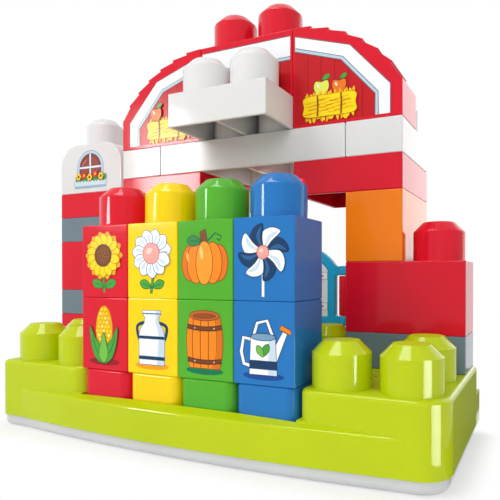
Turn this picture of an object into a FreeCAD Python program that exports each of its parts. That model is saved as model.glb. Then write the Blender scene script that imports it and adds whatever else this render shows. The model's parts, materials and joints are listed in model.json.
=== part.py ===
import FreeCAD, Part
import math
import os
import re
from types import SimpleNamespace

# Toy barn of large hollow bricks on a base with four press keys.
# Frame: millimetres, +Z up, front towards -Y, origin at the middle of the base's underside.
# Columns count brick pitches from the base's left end, rows count them from its front,
# and levels count full bricks above the base's deck.

SIZES = {
    # Brick system
    "pitch": 31.75,
    "brick_height": 38.1,
    "brick_gap": 0.3,
    "brick_top": 1.8,
    "web_wall": 1.6,
    "stud_radius": 13.6,
    "stud_room": 1.65,
    "stud_chamfer": 5.3,
    "stud_wall": 1.7,
    "stud_roof": 0.6,
    "stud_fit": 0.1,
    "socket_room": 0.5,
    # Base shell
    "base_wall": 2.5,
    "base_margin": 1.6,
    "base_left_corner": 4.5,
    "base_right_corner": 14.0,
    "bow_depth": 6.4,
    "bow_half_span": 112.0,
    "ledge_height": 24.6,
    "ledge_fall": 2.4,
    "ledge_reach": 5.5,
    "deck_edge": 2.2,
    "ledge_edge": 1.2,
    "bay_clearance": 0.5,
    "post_radius": 8.0,
    "grille_hole": 1.1,
    "grille_step": 4.4,
    # Base tray
    "rim_height": 6.3,
    "rim_inset": 1.0,
    "rim_edge": 3.0,
    "tray_floor": 2.5,
    "boss_height": 8.0,
    "boss_radius": 6.0,
    # Screws
    "screw_head": 3.0,
    "screw_head_height": 2.0,
    "screw_shank": 1.5,
    "screw_length": 12.0,
    "screw_room": 0.2,
    "screw_sink": 3.0,
    # Keys and circuit board
    "key_gap": 1.0,
    "key_setback": 0.2,
    "key_corner": 5.0,
    "key_edge": 1.2,
    "key_wall": 2.0,
    "key_foot": 13.0,
    "key_flange": 1.5,
    "key_flange_height": 2.0,
    "key_stop_gap": 0.1,
    "plunger_radius": 3.6,
    "dome_radius": 7.0,
    "dome_tip": 4.5,
    "dome_height": 8.0,
    "dome_wall": 1.0,
    "board_post": 4.0,
    "board_post_radius": 3.2,
    "board_thickness": 1.6,
    "board_end": 6.0,
    "board_side": 2.0,
    "board_screw_inset": 3.5,
    "board_screw_head": 2.2,
    "board_screw_head_height": 1.4,
    "board_screw_shank": 0.9,
    "board_screw_length": 5.0,
    # Batteries
    "cell_radius": 7.25,
    "cell_length": 49.5,
    "cell_nub": 1.0,
    "cell_nub_radius": 2.7,
    "cell_room": 0.5,
    "contact_thickness": 0.4,
    "contact_height": 9.0,
    "battery_wall": 1.6,
    "battery_offset": 45.0,
    "battery_setback": 62.5,
    "door_thickness": 2.0,
    "door_sink": 0.2,
    "door_lap": 3.0,
    "door_clearance": 0.25,
    "door_tongue": 9.0,
    # Speaker and switch
    "speaker_radius": 14.0,
    "speaker_flange": 2.0,
    "speaker_basket": 6.0,
    "magnet_radius": 7.5,
    "magnet_height": 5.0,
    "switch_length": 22.0,
    "switch_width": 9.0,
    "switch_height": 7.0,
    "switch_travel": 8.0,
    "switch_stem": 4.0,
    "switch_room": 0.5,
    "switch_cap_length": 11.0,
    "switch_cap_height": 3.0,
    "switch_lift": 0.2,
    # Roof and arch block
    "eave_height": 19.2,
    "roof_radius": 80.0,
    "shingle_step": 1.4,
    "arch_corner": 17.5,
    # Gate
    "gate_width": 54.0,
    "gate_drop": 1.5,
    "gate_rise": 14.3,
    "gate_thickness": 5.0,
    "gate_border": 5.0,
    "gate_recess": 0.8,
    "gate_arm_length": 9.2,
    "gate_arm_height": 6.0,
    "gate_play": 0.3,
    "hinge_reach": 14.0,
    "knuckle_radius": 7.0,
    "knuckle_web": 6.0,
    "pin_radius": 2.5,
    "pin_length": 6.0,
    "pin_play": 0.1,
}

# Counts
BASE_COLUMNS = 8
BASE_ROWS = 3
KEY_COLOURS = ["red", "yellow", "green", "blue"]
FIRST_KEY_COLUMN = 2
CELL_COUNT = 3
SHINGLES = 7
SPEAKER_PLACE = (6.5, 1.5)
SWITCH_PLACE = (1.5, 1.5)
HINGE_PLACE = (6, 3.5)
REAR_POST_COLUMNS = (1, 7)
FRONT_STUDS = [(0.5, 0.5), (1.5, 0.5), (0.5, 1.5), (6.5, 0.5), (7.5, 0.5), (7.5, 1.5)]
REAR_STUDS = [(n + 0.5, 2.5) for n in range(BASE_COLUMNS)]
HINGE_LEVEL = 0.5
ROOF_PANEL_BRICKS = 1.5
ROOF_INNER_COLUMNS = 1
ROOF_OUTER_COLUMNS = 3
TOUCH = 0.01

S = SimpleNamespace(**SIZES)
DOC = FreeCAD.newDocument("toy_barn")
SHEET = DOC.addObject("Spreadsheet::Sheet", "Sizes")
PARTS = []


def fill_sheet():
    """Write every size to a cell of the sheet under its own name."""
    for line, (word, value) in enumerate(SIZES.items(), 1):
        SHEET.set(f"A{line}", word)
        SHEET.set(f"B{line}", str(value))
        SHEET.setAlias(f"B{line}", word)
    DOC.recompute()


# Binding and solids

def spell(text):
    """Turn the size words of a formula into references to the sheet."""
    return re.sub(r"[a-z][a-z_]+", lambda word: "Sizes." + word.group(0), str(text))


def bind(item, place, **sizes):
    """Tie an object's position and sizes to formulas."""
    for axis, text in zip("xyz", place):
        item.setExpression("Placement.Base." + axis, spell(text))
    for name, text in sizes.items():
        item.setExpression(name, spell(text))
    return item


def box(name, corner, size):
    item = DOC.addObject("Part::Box", name)
    return bind(item, corner, Length=size[0], Width=size[1], Height=size[2])


def centred_box(name, middle, size):
    """A box centred on its place in plan, standing on it."""
    corner = (f"{middle[0]} - ({size[0]}) / 2", f"{middle[1]} - ({size[1]}) / 2", middle[2])
    return box(name, corner, size)


def cylinder(name, foot, radius, height):
    item = DOC.addObject("Part::Cylinder", name)
    return bind(item, foot, Radius=radius, Height=height)


def cone(name, foot, low, high, height):
    item = DOC.addObject("Part::Cone", name)
    return bind(item, foot, Radius1=low, Radius2=high, Height=height)


def lying_cylinder(name, start, axis, radius, length):
    """A cylinder whose axis runs along +X or +Y."""
    item = cylinder(name, start, radius, length)
    tilt = FreeCAD.Vector(0, 1, 0) if axis == "x" else FreeCAD.Vector(-1, 0, 0)
    item.Placement.Rotation = FreeCAD.Rotation(tilt, 90)
    return item


def fuse(name, items):
    if len(items) == 1:
        return items[0]
    item = DOC.addObject("Part::MultiFuse", name)
    item.Shapes = items
    item.Refine = True
    return item


def common(name, first, second):
    item = DOC.addObject("Part::MultiCommon", name)
    item.Shapes = [first, second]
    item.Refine = True
    return item


def cut(name, base, tools):
    item = DOC.addObject("Part::Cut", name)
    item.Base = base
    item.Tool = fuse(name + "_tools", tools)
    item.Refine = True
    return item


def group(name, items):
    """Separate like pieces that share one name."""
    item = DOC.addObject("Part::Compound", name)
    item.Links = items
    return item


def feature(name, shape):
    item = DOC.addObject("Part::Feature", name)
    item.Shape = shape
    return item


def round_edges(name, base, radius, choose):
    """Round the edges of a solid that a test picks."""
    DOC.recompute()
    item = DOC.addObject("Part::Fillet", name)
    item.Base = base
    picked = [n for n, edge in enumerate(base.Shape.Edges, 1) if choose(edge)]
    item.Edges = [(n, radius, radius) for n in picked]
    DOC.recompute()
    return item


def keep(item):
    """Mark an object as one finished piece of the toy, labelled with its own name."""
    item.Label = item.Name
    PARTS.append(item)


# Lattice

def column(n):
    return f"({n} - {BASE_COLUMNS / 2}) * pitch"


def row(n):
    return f"({n} - {BASE_ROWS / 2}) * pitch"


def level(n):
    return f"(1 + {n}) * brick_height"


# Bricks

STUD_SHOULDER = "(brick_height / 2 - brick_top - stud_room)"
STUD_HEIGHT = f"({STUD_SHOULDER} + stud_chamfer)"
BRICK_WALL = "(pitch / 2 - brick_gap / 2 - stud_radius - stud_fit)"


def stud(name, x, y, foot):
    """The outside of one stud: a post with a chamfered top, its shoulder under half a brick high."""
    post = cylinder(name + "_post", (x, y, foot), "stud_radius", STUD_SHOULDER)
    top = cone(name + "_top", (x, y, f"{foot} + {STUD_SHOULDER}"),
               "stud_radius", "stud_radius - stud_chamfer", "stud_chamfer")
    return [post, top]


def stud_bore(name, x, y, top, thickness):
    """The hollow of one stud, with a flared mouth that clears the stud below."""
    under = f"{top} - ({thickness})"
    flare = cone(name + "_flare", (x, y, under),
                 "stud_radius + stud_fit / 2", "stud_radius - stud_wall", thickness)
    bore = cylinder(name + "_bore", (x, y, top),
                    "stud_radius - stud_wall", f"{STUD_SHOULDER} - stud_roof")
    return [flare, bore]


def sockets(name, col, line, lev, cols, rows, depth):
    """The cells under a brick, one for each column, with thin webs between them."""
    cells = []
    edge = f"(brick_gap / 2 + {BRICK_WALL})"
    for i in range(cols):
        left = edge if i == 0 else "web_wall / 2"
        right = edge if i == cols - 1 else "web_wall / 2"
        corner = (f"{column(col + i)} + {left}", f"{row(line)} + {edge}", level(lev))
        size = (f"pitch - {left} - {right}", f"{rows} * pitch - 2 * {edge}", depth)
        cells.append(box(f"{name}_cell_{i}", corner, size))
    return cells


def brick_outside(name, col, line, lev, cols, rows, tall):
    corner = (f"{column(col)} + brick_gap / 2", f"{row(line)} + brick_gap / 2", level(lev))
    size = (f"{cols} * pitch - brick_gap", f"{rows} * pitch - brick_gap", f"{tall} * brick_height")
    return box(name + "_outside", corner, size)


def brick_solids(name, col, line, lev, cols, rows, tall):
    """The outside solids and the hollows of a plain brick."""
    top = level(lev + tall)
    solids = [brick_outside(name, col, line, lev, cols, rows, tall)]
    hollows = sockets(name, col, line, lev, cols, rows, f"{tall} * brick_height - brick_top")
    for i in range(cols):
        for j in range(rows):
            mark = f"{name}_stud_{i}_{j}"
            x = column(col + i + 0.5)
            y = row(line + j + 0.5)
            solids += stud(mark, x, y, top)
            hollows += stud_bore(mark, x, y, top, "brick_top")
    return solids, hollows


def brick(name, col, line, lev, cols, rows, tall):
    """A hollow brick with its left front lower corner at a lattice point."""
    solids, hollows = brick_solids(name, col, line, lev, cols, rows, tall)
    keep(cut(name, fuse(name + "_solid", solids), hollows))


def arch_block(name, col, line, lev):
    """A block two columns wide with rounded shoulders and one stud in the middle."""
    left = f"{column(col)} + brick_gap / 2"
    front = f"{row(line)} + brick_gap / 2"
    foot = level(lev)
    wide = "2 * pitch - brick_gap"
    deep = "pitch - brick_gap"
    body = box(name + "_body", (left, front, foot), (wide, deep, "brick_height - arch_corner"))
    crown = box(name + "_crown", (f"{left} + arch_corner", front, foot),
                (f"{wide} - 2 * arch_corner", deep, "brick_height"))
    shoulder_height = f"{foot} + brick_height - arch_corner"
    pieces = [body, crown]
    for side, x in (("left", f"{left} + arch_corner"), ("right", f"{left} + {wide} - arch_corner")):
        pieces.append(lying_cylinder(f"{name}_{side}_shoulder", (x, front, shoulder_height),
                                     "y", "arch_corner", deep))
    outside = brick_outside(name, col, line, lev, 2, 1, 1)
    x = column(col + 1)
    y = row(line + 0.5)
    solids = [common(name + "_shape", fuse(name + "_rounded", pieces), outside)]
    solids += stud(name + "_stud", x, y, level(lev + 1))
    depth = f"{STUD_HEIGHT} + socket_room"
    hollows = sockets(name, col, line, lev, 2, 1, depth)
    bore_foot = f"{foot} + {depth}"
    hollows.append(cylinder(name + "_bore", (x, y, bore_foot), "stud_radius - stud_wall",
                            f"brick_height - {depth} + {STUD_SHOULDER} - stud_roof"))
    keep(cut(name, fuse(name + "_solid", solids), hollows))


def roof_outline(side):
    """Half of the barn's gable: a level foot, an eave and lapped boards up to the ridge."""
    inner = ROOF_INNER_COLUMNS * S.pitch + S.brick_gap / 2
    outer = ROOF_OUTER_COLUMNS * S.pitch - S.brick_gap / 2
    ridge = ROOF_PANEL_BRICKS * S.brick_height
    across = outer - inner
    fall = ridge - S.shingle_step / 2 - S.eave_height
    chord = math.hypot(across, fall)
    rise = math.sqrt(S.roof_radius ** 2 - chord ** 2 / 4)
    centre_x = (inner + outer) / 2 - rise * fall / chord
    centre_z = S.eave_height + fall / 2 - rise * across / chord

    def point(angle, lift):
        reach = S.roof_radius + lift
        return centre_x + reach * math.sin(angle), centre_z + reach * math.cos(angle)

    lowest = math.asin((outer - centre_x) / S.roof_radius)
    highest = math.asin((inner - centre_x) / S.roof_radius)
    points = [(inner, 0.0), (outer, 0.0), point(lowest, 0.0)]
    turn = (lowest - highest) / SHINGLES
    for n in range(1, SHINGLES):
        joint = lowest - n * turn
        points.append(point(joint, 0.0))
        points.append(point(joint, S.shingle_step))
    points.append((inner, ridge))
    return [(side * x, z) for x, z in points]


def roof_panel(name, col, line, lev, side):
    """A side panel of the roof, one row deep and one and a half bricks high."""
    front = (line - BASE_ROWS / 2) * S.pitch + S.brick_gap / 2
    foot = (1 + lev) * S.brick_height
    corners = [FreeCAD.Vector(x, front, foot + z) for x, z in roof_outline(side)]
    face = Part.Face(Part.makePolygon(corners + corners[:1]))
    solid = feature(name + "_solid", face.extrude(FreeCAD.Vector(0, S.pitch - S.brick_gap, 0)))
    depth = f"{STUD_SHOULDER} + socket_room"
    hollows = sockets(name, col, line, lev, 2, 1, depth)
    for i in range(2):
        place = (column(col + i + 0.5), row(line + 0.5), f"{level(lev)} + {depth}")
        hollows.append(cone(f"{name}_stud_room_{i}", place, "stud_radius + stud_fit",
                            "stud_radius + stud_fit - stud_chamfer", "stud_chamfer"))
    keep(cut(name, solid, hollows))


# Base

BASE_HALF = f"({BASE_COLUMNS / 2} * pitch + base_margin)"
BASE_FRONT = f"({row(0)})"
BASE_BACK = f"({row(BASE_ROWS)} - brick_gap / 2)"
BOW_RADIUS = "((bow_half_span ^ 2 + bow_depth ^ 2) / (2 * bow_depth))"
BOW_CENTRE = ("0", f"{BASE_FRONT} - bow_depth + {BOW_RADIUS}")
DECK_UNDER = "(brick_height - base_wall)"
LEDGE_FRONT = "(ledge_height - ledge_fall)"
LEDGE_UNDER = f"({LEDGE_FRONT} - base_wall)"
BAY_HALF = f"({len(KEY_COLOURS) / 2} * pitch + bay_clearance)"
BAY_BACK = f"({row(1)} + bay_clearance)"
BOARD_TOP = "(tray_floor + board_post + board_thickness)"


def base_plan(name, inset, foot, top, bowed):
    """The base's outline, drawn in by an inset, as a block between two heights."""
    tall = f"({top}) - ({foot})"
    pieces = [box(name + "_middle", (f"base_left_corner - {BASE_HALF}", f"{BASE_FRONT} + {inset}", foot),
                  (f"2 * {BASE_HALF} - base_left_corner - base_right_corner",
                   f"{BASE_BACK} - {BASE_FRONT} - 2 * ({inset})", tall))]
    for side, sign, start in (("left", "-1", f"{inset} - {BASE_HALF}"),
                              ("right", "1", f"{BASE_HALF} - base_right_corner")):
        corner = f"base_{side}_corner"
        pieces.append(box(f"{name}_{side}_end", (start, f"{BASE_FRONT} + {corner}", foot),
                          (f"{corner} - ({inset})",
                           f"{BASE_BACK} - {BASE_FRONT} - {corner} - ({inset})", tall)))
        place = (f"{sign} * ({BASE_HALF} - {corner})", f"{BASE_FRONT} + {corner}", foot)
        pieces.append(cylinder(f"{name}_{side}_corner", place, f"{corner} - ({inset})", tall))
    if bowed:
        drum = cylinder(name + "_drum", (*BOW_CENTRE, foot), f"{BOW_RADIUS} - ({inset})", tall)
        pieces.append(bow(name, drum, foot, tall))
    return fuse(name, pieces)


def bow(name, drum, foot, tall):
    """The front part of a wide drum, as the bow of the base between two heights."""
    clip = box(name + "_clip", ("-bow_half_span", f"{BASE_FRONT} - 2 * bow_depth", foot),
               ("2 * bow_half_span", "2 * bow_depth + base_right_corner", tall))
    return common(name + "_bow", drum, clip)


def post_places():
    """Where the tray's screws run up into the shell."""
    places = []
    for sign in ("-1", "1"):
        places.append((f"{sign} * ({BAY_HALF} + post_radius)", f"{BASE_FRONT} + post_radius"))
    for col in REAR_POST_COLUMNS:
        places.append((column(col), row(2)))
    return places


def grille_holes():
    """A hexagon of small holes over the speaker."""
    x = column(SPEAKER_PLACE[0])
    y = row(SPEAKER_PLACE[1])
    places = [(0.0, 0.0)]
    for ring in (1, 2):
        count = 6 * ring
        for n in range(count):
            angle = 2 * math.pi * n / count
            places.append((ring * math.cos(angle), ring * math.sin(angle)))
    holes = []
    for n, (across, along) in enumerate(places):
        place = (f"{x} + {across:.4f} * grille_step", f"{y} + {along:.4f} * grille_step", DECK_UNDER)
        holes.append(cylinder(f"grille_hole_{n}", place, "grille_hole", "base_wall"))
    return holes


def base_outside():
    """The deck and its bowed ledge, with the key bay cut in and the edges rounded."""
    deck = base_plan("deck_plan", "0", "rim_height", "brick_height", False)
    bay = box("bay_cut", (f"-{BAY_HALF}", f"{BASE_FRONT} - base_wall", "ledge_height"),
              (f"2 * {BAY_HALF}", f"{BAY_BACK} - {BASE_FRONT} + base_wall", "brick_height"))
    deck = cut("deck_with_bay", deck, [bay])
    front = -BASE_ROWS / 2 * S.pitch
    bay_back = front + S.pitch + S.bay_clearance
    back = BASE_ROWS / 2 * S.pitch - S.brick_gap / 2
    bay_half = len(KEY_COLOURS) / 2 * S.pitch + S.bay_clearance

    def bay_corner(edge):
        bounds = edge.BoundBox
        upright = bounds.XLength < TOUCH and bounds.YLength < TOUCH
        beside_bay = abs(abs(bounds.XMin) - bay_half) < TOUCH
        on_top = bounds.ZMax > S.brick_height - TOUCH
        return upright and beside_bay and on_top and abs(bounds.YMin - front) < TOUCH

    def deck_rim(edge):
        bounds = edge.BoundBox
        on_top = bounds.ZMin > S.brick_height - TOUCH
        behind_bay = abs(bounds.YMin - bay_back) < TOUCH and bounds.YLength < TOUCH
        return on_top and not behind_bay and bounds.YMin < back - TOUCH

    deck = round_edges("deck_bay_corners", deck, S.post_radius, bay_corner)
    deck = round_edges("deck_rounded", deck, S.deck_edge, deck_rim)
    ledge = base_plan("ledge_plan", "0", "rim_height", LEDGE_FRONT, True)
    drum = cone("slope_drum", (*BOW_CENTRE, LEDGE_FRONT), BOW_RADIUS,
                f"{BOW_RADIUS} - ledge_reach", "ledge_fall")
    ledge = fuse("ledge_sloped", [ledge, bow("slope", drum, LEDGE_FRONT, "ledge_fall")])
    slope_foot = S.ledge_height - S.ledge_fall

    def ledge_rim(edge):
        bounds = edge.BoundBox
        in_front = bounds.YMin < front - S.bow_depth / 2
        return in_front and abs(bounds.ZMin - slope_foot) < TOUCH and bounds.ZLength < TOUCH

    ledge = round_edges("ledge_rounded", ledge, S.ledge_edge, ledge_rim)
    return [deck, ledge]


def base_shell():
    solids = base_outside()
    hollows = []
    for n, (col, line) in enumerate(FRONT_STUDS + REAR_STUDS):
        solids += stud(f"deck_stud_{n}", column(col), row(line), level(0))
        solids.append(cylinder(f"deck_stud_{n}_root", (column(col), row(line), DECK_UNDER),
                               "stud_radius", "base_wall"))
        hollows += stud_bore(f"deck_stud_{n}", column(col), row(line), level(0), "base_wall")
    deck_room = base_plan("deck_room", "base_wall", "rim_height", DECK_UNDER, False)
    ledge_room = base_plan("ledge_room", "base_wall", "rim_height", LEDGE_UNDER, True)
    kept = [box("bay_walls", (f"-({BAY_HALF} + base_wall)", f"{BASE_FRONT} - 2 * bow_depth", LEDGE_UNDER),
                (f"2 * ({BAY_HALF} + base_wall)", f"{BAY_BACK} - {BASE_FRONT} + 2 * bow_depth + base_wall",
                 "brick_height"))]
    for n, (x, y) in enumerate(post_places()):
        kept.append(cylinder(f"post_{n}", (x, y, "boss_height"), "post_radius", "brick_height"))
        hollows.append(cylinder(f"post_hole_{n}", (x, y, "boss_height"), "screw_shank + screw_room / 4",
                                "screw_length + screw_sink - boss_height + screw_room"))
    room = fuse("base_room", [deck_room, ledge_room])
    hollows.append(cut("base_hollow", room, kept))
    key_front = f"({BASE_FRONT} + key_setback - bay_clearance)"
    hollows.append(box("key_window", (f"-{BAY_HALF}", key_front, LEDGE_UNDER),
                       (f"2 * {BAY_HALF}", f"{BAY_BACK} - {key_front}", "base_wall + ledge_fall")))
    hollows += grille_holes()
    hollows.append(centred_box("switch_slot", (column(SWITCH_PLACE[0]), row(SWITCH_PLACE[1]), DECK_UNDER),
                               ("switch_stem + switch_travel + 2 * switch_room",
                                "switch_stem + 2 * switch_room", "base_wall")))
    keep(cut("base_shell", fuse("base_shell_solid", solids), hollows))


BATTERY_X = "(-battery_offset)"
BATTERY_Y = f"({BASE_FRONT} + battery_setback)"
CELL_STEP = "(2 * cell_radius + cell_room)"
BATTERY_LENGTH = "(cell_length + cell_nub + 2 * contact_thickness + 2 * cell_room)"
BATTERY_WIDTH = f"({CELL_COUNT} * {CELL_STEP})"
DOOR_TOP = "(door_sink + door_thickness)"
BATTERY_ROOF = f"({DOOR_TOP} + 2 * cell_radius + cell_room)"
SEAT_LENGTH = f"({BATTERY_LENGTH} + 2 * door_lap)"
SEAT_WIDTH = f"({BATTERY_WIDTH} + 2 * door_lap)"
TONGUE_X = f"({BATTERY_X} + ({SEAT_LENGTH}) / 2 + door_tongue / 2 - door_lap / 2)"
BOARD_FRONT = f"({BASE_FRONT} + rim_inset + base_wall + board_side)"
BOARD_BACK = f"({BAY_BACK} + board_side)"
BOARD_HALF = f"({BAY_HALF} - board_end)"


def board_corners():
    """The four fixing points of the circuit board."""
    places = []
    for sign in ("-1", "1"):
        x = f"{sign} * ({BOARD_HALF} - board_screw_inset)"
        places.append((x, f"{BOARD_FRONT} + board_screw_inset"))
        places.append((x, f"{BOARD_BACK} - board_screw_inset"))
    return places


def base_tray():
    plan = base_plan("tray_plan", "rim_inset", "0", "rim_height", True)
    plan = round_edges("tray_rounded", plan, S.rim_edge, lambda edge: edge.BoundBox.ZMax < TOUCH)
    room = base_plan("tray_room", "rim_inset + base_wall", "tray_floor", "rim_height", True)
    solids = [cut("tray_pan", plan, [room])]
    hollows = []
    for n, (x, y) in enumerate(post_places()):
        solids.append(cylinder(f"boss_{n}", (x, y, "0"), "boss_radius", "boss_height"))
        hollows.append(cylinder(f"boss_hole_{n}", (x, y, "0"), "screw_shank + screw_room", "boss_height"))
        hollows.append(cylinder(f"boss_sink_{n}", (x, y, "0"), "screw_head + screw_room", "screw_sink"))
    for n, (x, y) in enumerate(board_corners()):
        solids.append(cylinder(f"board_post_{n}", (x, y, "0"), "board_post_radius",
                               "tray_floor + board_post"))
        depth = "(board_screw_length - board_thickness + screw_room)"
        hollows.append(cylinder(f"board_post_hole_{n}", (x, y, f"tray_floor + board_post - {depth}"),
                                "board_screw_shank + screw_room / 4", depth))
    middle = (BATTERY_X, BATTERY_Y, "0")
    walls = (f"{BATTERY_LENGTH} + 2 * battery_wall", f"{BATTERY_WIDTH} + 2 * battery_wall",
             f"{BATTERY_ROOF} + battery_wall")
    seat = (f"{SEAT_LENGTH} + 2 * base_wall", f"{SEAT_WIDTH} + 2 * base_wall", f"{DOOR_TOP} + battery_wall")
    solids.append(centred_box("battery_walls", middle, walls))
    solids.append(centred_box("door_seat", middle, seat))
    tongue = (TONGUE_X, BATTERY_Y, "0")
    solids.append(cylinder("tongue_boss", tongue, "door_tongue / 2 + base_wall", "boss_height"))
    hollows.append(centred_box("battery_room", middle, (BATTERY_LENGTH, BATTERY_WIDTH, BATTERY_ROOF)))
    hollows.append(centred_box("door_room", middle, (SEAT_LENGTH, SEAT_WIDTH, DOOR_TOP)))
    hollows.append(cylinder("tongue_room", tongue, "door_tongue / 2", DOOR_TOP))
    hollows.append(cylinder("tongue_hole", tongue, "board_screw_shank + screw_room / 4",
                            "boss_height - screw_room"))
    keep(cut("base_tray", fuse("base_tray_solid", solids), hollows))


def battery_pieces():
    """Cells, contact plates, door and the screw that holds the door."""
    cells = []
    start = f"{BATTERY_X} - {BATTERY_LENGTH} / 2 + contact_thickness + cell_room"
    axis_height = f"{DOOR_TOP} + cell_radius + cell_room / 4"
    for n in range(CELL_COUNT):
        y = f"{BATTERY_Y} + ({n} - {(CELL_COUNT - 1) / 2}) * {CELL_STEP}"
        can = lying_cylinder(f"cell_can_{n}", (start, y, axis_height), "x", "cell_radius", "cell_length")
        nub = lying_cylinder(f"cell_nub_{n}", (f"{start} + cell_length", y, axis_height),
                             "x", "cell_nub_radius", "cell_nub")
        cells.append(fuse(f"cell_{n}", [can, nub]))
    keep(group("batteries", cells))
    plates = []
    for side, x in (("left", f"{BATTERY_X} - {BATTERY_LENGTH} / 2"),
                    ("right", f"{BATTERY_X} + {BATTERY_LENGTH} / 2 - contact_thickness")):
        corner = (x, f"{BATTERY_Y} - {BATTERY_WIDTH} / 2 + cell_room", f"{axis_height} - contact_height / 2")
        plates.append(box(f"contact_{side}", corner,
                          ("contact_thickness", f"{BATTERY_WIDTH} - 2 * cell_room", "contact_height")))
    keep(group("battery_contacts", plates))
    panel = centred_box("door_panel", (BATTERY_X, BATTERY_Y, "door_sink"),
                        (f"{SEAT_LENGTH} - 2 * door_clearance", f"{SEAT_WIDTH} - 2 * door_clearance",
                         "door_thickness"))
    tongue = cylinder("door_tongue_plate", (TONGUE_X, BATTERY_Y, "door_sink"),
                      "door_tongue / 2 - door_clearance", "door_thickness")
    hole = cylinder("door_hole", (TONGUE_X, BATTERY_Y, "door_sink"),
                    "board_screw_shank + screw_room", "door_thickness")
    sink = cylinder("door_sink_hole", (TONGUE_X, BATTERY_Y, "door_sink"),
                    "board_screw_head + screw_room", "board_screw_head_height")
    keep(cut("battery_door", fuse("battery_door_solid", [panel, tongue]), [hole, sink]))
    head_top = "door_sink + board_screw_head_height"
    keep(screw("battery_door_screw", TONGUE_X, BATTERY_Y, head_top, "board_screw_head",
               "board_screw_head_height", "board_screw_shank", "board_screw_length"))


def screw(name, x, y, seat, head, head_height, shank, length):
    """A screw driven upwards: its head under the seat and its shank above."""
    cap = cylinder(name + "_head", (x, y, f"{seat} - {head_height}"), head, head_height)
    pin = cylinder(name + "_shank", (x, y, seat), shank, length)
    return fuse(name, [cap, pin])


def tray_screws():
    screws = []
    for n, (x, y) in enumerate(post_places()):
        screws.append(screw(f"tray_screw_{n}", x, y, "screw_sink", "screw_head", "screw_head_height",
                            "screw_shank", "screw_length"))
    keep(group("tray_screws", screws))


def circuit_board():
    plate = box("board_plate", (f"-{BOARD_HALF}", BOARD_FRONT, "tray_floor + board_post"),
                (f"2 * {BOARD_HALF}", f"{BOARD_BACK} - {BOARD_FRONT}", "board_thickness"))
    holes = []
    screws = []
    for n, (x, y) in enumerate(board_corners()):
        holes.append(cylinder(f"board_hole_{n}", (x, y, "tray_floor + board_post"),
                              "board_screw_shank + screw_room", "board_thickness"))
        cap = cylinder(f"board_screw_{n}_head", (x, y, BOARD_TOP), "board_screw_head",
                       "board_screw_head_height")
        pin = cylinder(f"board_screw_{n}_shank", (x, y, f"{BOARD_TOP} - board_screw_length"),
                       "board_screw_shank", "board_screw_length")
        screws.append(fuse(f"board_screw_{n}", [cap, pin]))
    keep(cut("circuit_board", plate, holes))
    keep(group("board_screws", screws))


KEY_DEPTH = "(pitch - key_setback)"
KEY_WIDTH = "(pitch - key_gap)"


def rounded_block(name, left, front, foot, size, corner):
    """A block with four rounded upright corners."""
    wide, deep, tall = size
    pieces = [box(name + "_long", (left, f"{front} + {corner}", foot), (wide, f"{deep} - 2 * {corner}", tall)),
              box(name + "_short", (f"{left} + {corner}", front, foot), (f"{wide} - 2 * {corner}", deep, tall))]
    for i, x in enumerate((f"{left} + {corner}", f"{left} + {wide} - {corner}")):
        for j, y in enumerate((f"{front} + {corner}", f"{front} + {deep} - {corner}")):
            pieces.append(cylinder(f"{name}_corner_{i}_{j}", (x, y, foot), corner, tall))
    return fuse(name, pieces)


def press_key(colour, col):
    """A hollow key with a stud on top, stop flanges and a plunger on its rubber dome."""
    name = "key_" + colour
    left = f"{column(col)} + key_gap / 2"
    front = f"{BASE_FRONT} + key_setback"
    x = column(col + 0.5)
    middle = f"{front} + {KEY_DEPTH} / 2"
    cap = rounded_block(name + "_cap", left, front, "key_foot",
                        (KEY_WIDTH, KEY_DEPTH, "brick_height - key_foot"), "key_corner")
    cap = round_edges(name + "_cap_rounded", cap, S.key_edge,
                      lambda edge: edge.BoundBox.ZMin > S.brick_height - TOUCH)
    flange_foot = f"{LEDGE_UNDER} - key_stop_gap - key_flange_height"
    flange = box(name + "_flange", (f"{left} + key_corner", f"{front} - key_flange", flange_foot),
                 (f"{KEY_WIDTH} - 2 * key_corner", f"{KEY_DEPTH} + 2 * key_flange", "key_flange_height"))
    room = box(name + "_room", (f"{left} + key_wall", f"{front} + key_wall", "key_foot"),
               (f"{KEY_WIDTH} - 2 * key_wall", f"{KEY_DEPTH} - 2 * key_wall",
                "brick_height - key_foot - key_wall"))
    shell = cut(name + "_shell", fuse(name + "_outside", [cap, flange]), [room])
    plunger_foot = f"{BOARD_TOP} + dome_height"
    plunger = cylinder(name + "_plunger", (x, middle, plunger_foot), "plunger_radius",
                       f"brick_height - key_wall - ({plunger_foot})")
    top = stud(name + "_stud", x, row(0.5), level(0))
    keep(fuse(name, [shell, plunger] + top))
    dome = "key_dome_" + colour
    outside = cone(dome + "_outside", (x, middle, BOARD_TOP), "dome_radius", "dome_tip", "dome_height")
    inside = cone(dome + "_inside", (x, middle, BOARD_TOP), "dome_radius - dome_wall",
                  "dome_tip - dome_wall", "dome_height - dome_wall")
    keep(cut(dome, outside, [inside]))


def speaker():
    x = column(SPEAKER_PLACE[0])
    y = row(SPEAKER_PLACE[1])
    flange_foot = f"({DECK_UNDER} - speaker_flange)"
    flange = cylinder("speaker_rim", (x, y, flange_foot), "speaker_radius", "speaker_flange")
    basket = cone("speaker_cone", (x, y, f"{flange_foot} - speaker_basket"), "magnet_radius",
                  "speaker_radius - speaker_flange", "speaker_basket")
    magnet = cylinder("speaker_magnet", (x, y, f"{flange_foot} - speaker_basket - magnet_height"),
                      "magnet_radius", "magnet_height")
    keep(fuse("speaker", [flange, basket, magnet]))


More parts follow.
